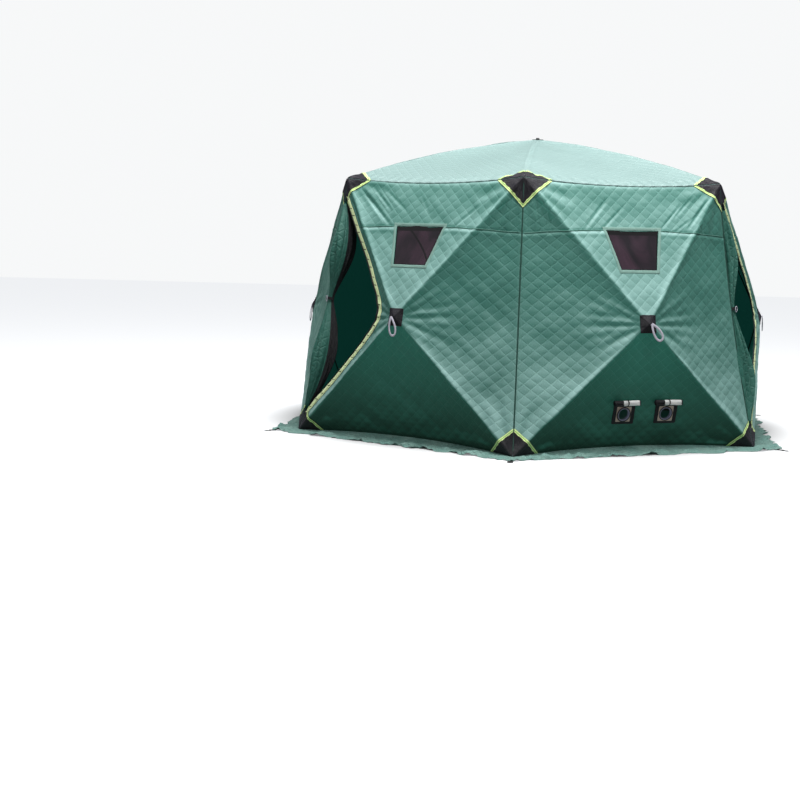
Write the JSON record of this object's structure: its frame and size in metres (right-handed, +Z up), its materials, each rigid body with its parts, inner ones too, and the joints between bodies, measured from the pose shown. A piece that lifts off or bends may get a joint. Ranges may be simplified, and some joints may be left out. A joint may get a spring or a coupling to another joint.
{
  "type": "pop-up ice fishing shelter",
  "caption": "Hexagonal pop-up ice fishing hut of quilted green fabric, its walls pushed out by rod hubs, with windows, zipped doors and a ground skirt.",
  "frame": {"origin": "on the ground under the roof's peak, at the middle of the hexagonal floor", "axes": "+Z up to the roof's peak; +X out through the wall with the second door; -Y out through the corner between the two front walls"},
  "size_m": [4.0296, 4.63, 2.363],
  "materials": {
    "wall_fabric": "satin",
    "roof_fabric": "satin",
    "door_fabric": "satin",
    "skirt_fabric": "satin",
    "grey_binding": "matte",
    "window_film": "gloss",
    "black_canvas": "matte",
    "lime_tape": "matte",
    "grey_webbing": "matte",
    "black_webbing": "matte",
    "fibreglass_rod": "satin",
    "moulded_plastic": "satin",
    "vent_plastic": "satin",
    "vent_cover_fabric": "matte"
  },
  "bodies": {
    "root": {"wall_front_right": "wall_fabric", "wall_right": "wall_fabric", "wall_back_right": "wall_fabric", "wall_back_left": "wall_fabric", "wall_left": "wall_fabric", "wall_front_left": "wall_fabric", "roof_front_right": "roof_fabric", "roof_right": "roof_fabric", "roof_back_right": "roof_fabric", "roof_back_left": "roof_fabric", "roof_left": "roof_fabric", "roof_front_left": "roof_fabric", "skirt_front_right": "skirt_fabric", "skirt_right": "skirt_fabric", "skirt_back_right": "skirt_fabric", "skirt_back_left": "skirt_fabric", "skirt_left": "skirt_fabric", "skirt_front_left": "skirt_fabric", "window_bindings": "grey_binding", "window_panes": "window_film", "eave_patches": "black_canvas", "eave_piping": "lime_tape", "base_patches": "black_canvas", "base_piping": "lime_tape", "hub_patches": "black_canvas", "pull_loops": "grey_webbing", "roof_cap": "moulded_plastic", "front_left_door_zip": "lime_tape", "right_door_zip": "lime_tape", "front_left_door_flap": "door_fabric", "right_door_flap": "door_fabric", "door_ties": "black_webbing", "rods_front_right": "fibreglass_rod", "rods_right": "fibreglass_rod", "rods_back_right": "fibreglass_rod", "rods_back_left": "fibreglass_rod", "rods_left": "fibreglass_rod", "rods_front_left": "fibreglass_rod", "roof_rods": "fibreglass_rod", "wall_hubs": "moulded_plastic", "eave_joints": "moulded_plastic", "corner_feet": "moulded_plastic", "roof_hub": "moulded_plastic", "vent_patches": "black_canvas", "vent_collars": "vent_plastic", "vent_covers": "vent_cover_fabric", "anchor_tabs": "black_webbing"}
  },
  "joints": []
}
